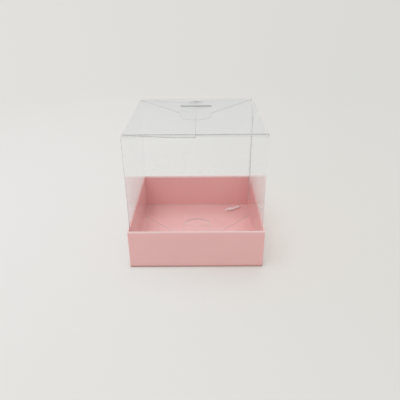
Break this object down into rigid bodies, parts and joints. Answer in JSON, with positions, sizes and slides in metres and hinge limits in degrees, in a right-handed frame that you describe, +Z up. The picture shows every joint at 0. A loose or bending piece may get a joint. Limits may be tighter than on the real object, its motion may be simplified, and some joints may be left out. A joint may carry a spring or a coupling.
{
  "type": "flower box",
  "caption": "Clear plastic folding box with tongue-and-slot flap closures, standing in a low rolled-edge card tray, to show and protect a flower or small gift.",
  "frame": {"origin": "on the table, under the middle of the tray", "axes": "+X to the box's right seen from the front, +Y to the rear, +Z up"},
  "size_m": [0.08, 0.08, 0.0833],
  "materials": {
    "card": "smooth matte pink card with paler edges",
    "clear_sheet": "clear glossy creased sheet"
  },
  "bodies": {
    "tray": {"tray_floor": "card", "tray_front_wall": "card", "tray_rear_wall": "card", "tray_left_wall": "card", "tray_right_wall": "card", "tray_front_lining": "card", "tray_rear_lining": "card", "tray_left_lining": "card", "tray_right_lining": "card", "tray_front_left_corner_tab": "card", "tray_front_right_corner_tab": "card", "tray_rear_left_corner_tab": "card", "tray_rear_right_corner_tab": "card"},
    "clear_box": {"box_front_wall": "clear_sheet", "box_right_wall": "clear_sheet", "box_rear_wall": "clear_sheet", "box_left_wall": "clear_sheet", "box_glue_flap": "clear_sheet", "bottom_front_flap": "clear_sheet", "bottom_tongue": "clear_sheet", "bottom_rear_flap": "clear_sheet"},
    "lid": {"lid_flap": "clear_sheet", "lid_tongue": "clear_sheet"},
    "top_rear": {"top_rear_flap": "clear_sheet"},
    "top_left_dust": {"top_left_dust_flap": "clear_sheet"},
    "top_right_dust": {"top_right_dust_flap": "clear_sheet"},
    "bottom_left_dust": {"bottom_left_dust_flap": "clear_sheet"},
    "bottom_right_dust": {"bottom_right_dust_flap": "clear_sheet"}
  },
  "joints": [
    {"name": "box_lift", "type": "slide", "parent": "tray", "child": "clear_box", "axis": [0, 0, 1], "range_m": [0, 0.04]},
    {"name": "lid_hinge", "type": "hinge", "parent": "clear_box", "child": "lid", "pos_m": [0, -0.03844, 0.08327], "axis": [1, 0, 0], "range_deg": [0, 180], "deforming": ["lid_tongue"]},
    {"name": "top_rear_hinge", "type": "hinge", "parent": "clear_box", "child": "top_rear", "pos_m": [0, 0.03844, 0.08287], "axis": [-1, 0, 0], "range_deg": [0, 100]},
    {"name": "top_left_dust_hinge", "type": "hinge", "parent": "clear_box", "child": "top_left_dust", "pos_m": [-0.03844, 0, 0.08217], "axis": [0, 1, 0], "range_deg": [0, 85]},
    {"name": "top_right_dust_hinge", "type": "hinge", "parent": "clear_box", "child": "top_right_dust", "pos_m": [0.03844, 0, 0.08217], "axis": [0, -1, 0], "range_deg": [0, 82]},
    {"name": "bottom_left_dust_hinge", "type": "hinge", "parent": "clear_box", "child": "bottom_left_dust", "pos_m": [-0.03844, 0, 0.00147], "axis": [0, -1, 0], "range_deg": [0, 85]},
    {"name": "bottom_right_dust_hinge", "type": "hinge", "parent": "clear_box", "child": "bottom_right_dust", "pos_m": [0.03844, 0, 0.00147], "axis": [0, 1, 0], "range_deg": [0, 82]}
  ],
  "couplings": [
    {"joint": "top_rear_hinge", "follows": "lid_hinge", "ratio": 0.55}
  ]
}
